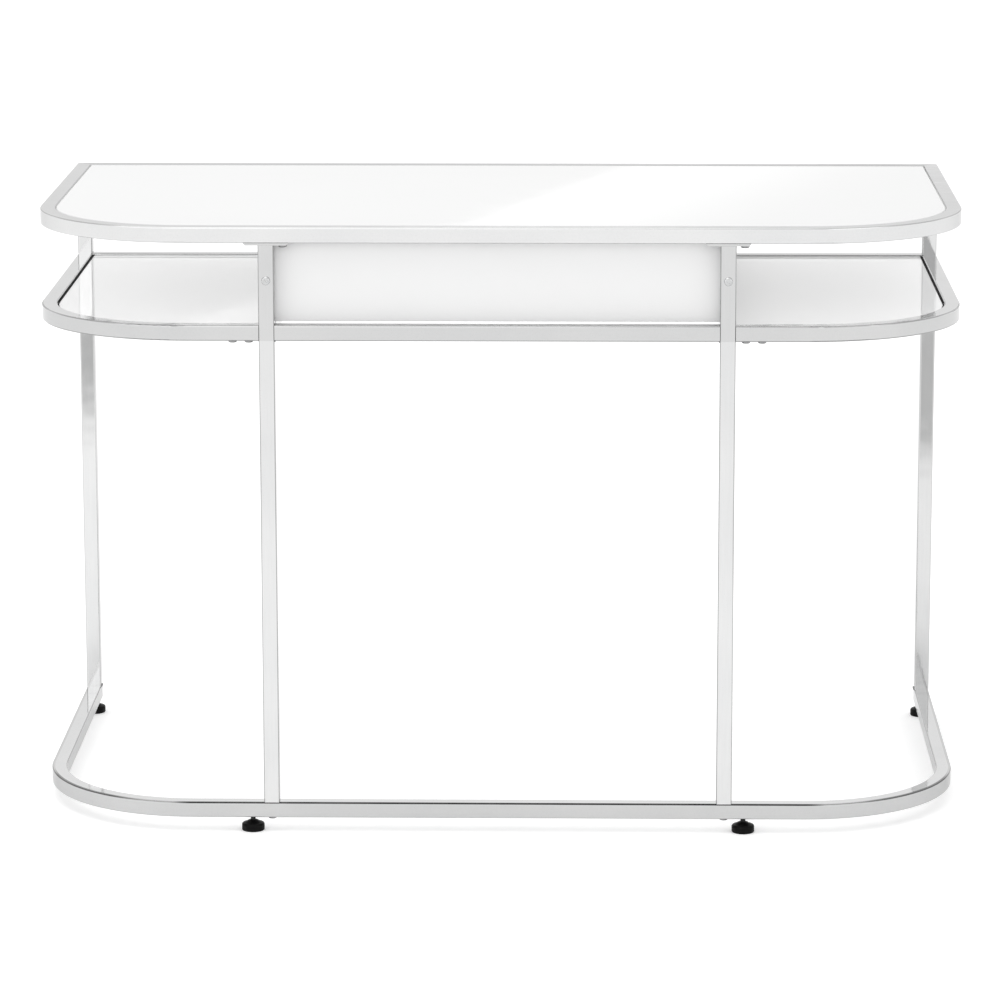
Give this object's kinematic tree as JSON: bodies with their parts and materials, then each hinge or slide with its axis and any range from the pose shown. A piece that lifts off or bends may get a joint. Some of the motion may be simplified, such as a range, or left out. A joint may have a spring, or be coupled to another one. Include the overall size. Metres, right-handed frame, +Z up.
{
  "type": "console table",
  "caption": "D-shaped console table in chromed square tube, with a white glass top, an open shelf below it, a drawer in the middle and levelling feet.",
  "frame": {"origin": "on the floor, at the middle of the table's box", "axes": "+X along the table to the right as seen from the curved side, +Y towards the straight edge and the drawer front, +Z up"},
  "size_m": [1.149, 0.609, 0.75],
  "materials": {
    "chrome_tube": "polished chrome plating on steel tube",
    "white_glass": "tempered glass, painted white on its underside, glossy",
    "white_lacquer": "gloss white lacquer on fibreboard",
    "drawer_board": "white melamine-faced board",
    "zinc_steel": "bright zinc-plated steel",
    "screw_steel": "nickel-plated screw steel",
    "cap_plastic": "grey moulded plastic",
    "foot_plastic": "black moulded plastic",
    "foot_steel": "blackened threaded steel",
    "clear_pad": "clear silicone bump pad"
  },
  "bodies": {
    "frame": {"base_end_caps": "cap_plastic", "base_frame_tube": "chrome_tube", "base_post_screws": "screw_steel", "case_back_panel": "white_lacquer", "case_bottom_board": "white_lacquer", "case_floor_screws": "screw_steel", "case_post_screws": "screw_steel", "case_top_board": "white_lacquer", "foot_weld_nuts": "zinc_steel", "glass_pads": "clear_pad", "glass_tabs": "zinc_steel", "left_case_side": "white_lacquer", "left_lower_leg": "chrome_tube", "left_lower_post": "chrome_tube", "left_shelf_bent_tube": "chrome_tube", "left_shelf_cross_rail": "chrome_tube", "left_shelf_glass": "white_glass", "left_slide_outer": "zinc_steel", "left_upper_leg": "chrome_tube", "left_upper_post": "chrome_tube", "leg_joint_screws": "screw_steel", "leg_spigots": "zinc_steel", "leg_top_plates": "chrome_tube", "post_foot_plugs": "zinc_steel", "post_top_plates": "chrome_tube", "right_case_side": "white_lacquer", "right_lower_leg": "chrome_tube", "right_lower_post": "chrome_tube", "right_shelf_bent_tube": "chrome_tube", "right_shelf_cross_rail": "chrome_tube", "right_shelf_glass": "white_glass", "right_slide_outer": "zinc_steel", "right_upper_leg": "chrome_tube", "right_upper_post": "chrome_tube", "shelf_centre_rail": "chrome_tube", "shelf_joint_screws": "screw_steel", "shelf_rear_rail": "chrome_tube", "shelf_tongues": "zinc_steel", "top_fixing_screws": "screw_steel", "top_frame_bent_tube": "chrome_tube", "top_frame_rear_rail": "chrome_tube", "top_glass": "white_glass", "top_weld_nuts": "zinc_steel"},
    "drawer": {"drawer_back": "drawer_board", "drawer_bottom": "drawer_board", "drawer_front": "white_lacquer", "left_drawer_side": "drawer_board", "left_slide_inner": "zinc_steel", "right_drawer_side": "drawer_board", "right_slide_inner": "zinc_steel"},
    "front_left_foot": {"front_left_foot_pad": "foot_plastic", "front_left_foot_stem": "foot_steel"},
    "front_right_foot": {"front_right_foot_pad": "foot_plastic", "front_right_foot_stem": "foot_steel"},
    "left_cage": {"left_slide_cage": "zinc_steel"},
    "rear_left_foot": {"rear_left_foot_pad": "foot_plastic", "rear_left_foot_stem": "foot_steel"},
    "rear_right_foot": {"rear_right_foot_pad": "foot_plastic", "rear_right_foot_stem": "foot_steel"},
    "right_cage": {"right_slide_cage": "zinc_steel"}
  },
  "joints": [
    {"name": "drawer_slide", "type": "slide", "parent": "frame", "child": "drawer", "axis": [0, 1, 0], "range_m": [0, 0.3]},
    {"name": "left_cage_slide", "type": "slide", "parent": "frame", "child": "left_cage", "axis": [0, 1, 0], "range_m": [0, 0.15]},
    {"name": "right_cage_slide", "type": "slide", "parent": "frame", "child": "right_cage", "axis": [0, 1, 0], "range_m": [0, 0.15]},
    {"name": "front_left_foot_spin", "type": "hinge", "parent": "frame", "child": "front_left_foot", "pos_m": [-0.3015, -0.2905, 0], "axis": [0, 0, 1], "continuous": true},
    {"name": "front_right_foot_spin", "type": "hinge", "parent": "frame", "child": "front_right_foot", "pos_m": [0.3015, -0.2905, 0], "axis": [0, 0, 1], "continuous": true},
    {"name": "rear_left_foot_spin", "type": "hinge", "parent": "frame", "child": "rear_left_foot", "pos_m": [-0.5605, 0.2905, 0], "axis": [0, 0, 1], "continuous": true},
    {"name": "rear_right_foot_spin", "type": "hinge", "parent": "frame", "child": "rear_right_foot", "pos_m": [0.5605, 0.2905, 0], "axis": [0, 0, 1], "continuous": true}
  ],
  "couplings": [
    {"joint": "left_cage_slide", "follows": "drawer_slide", "ratio": 0.5},
    {"joint": "right_cage_slide", "follows": "drawer_slide", "ratio": 0.5}
  ]
}
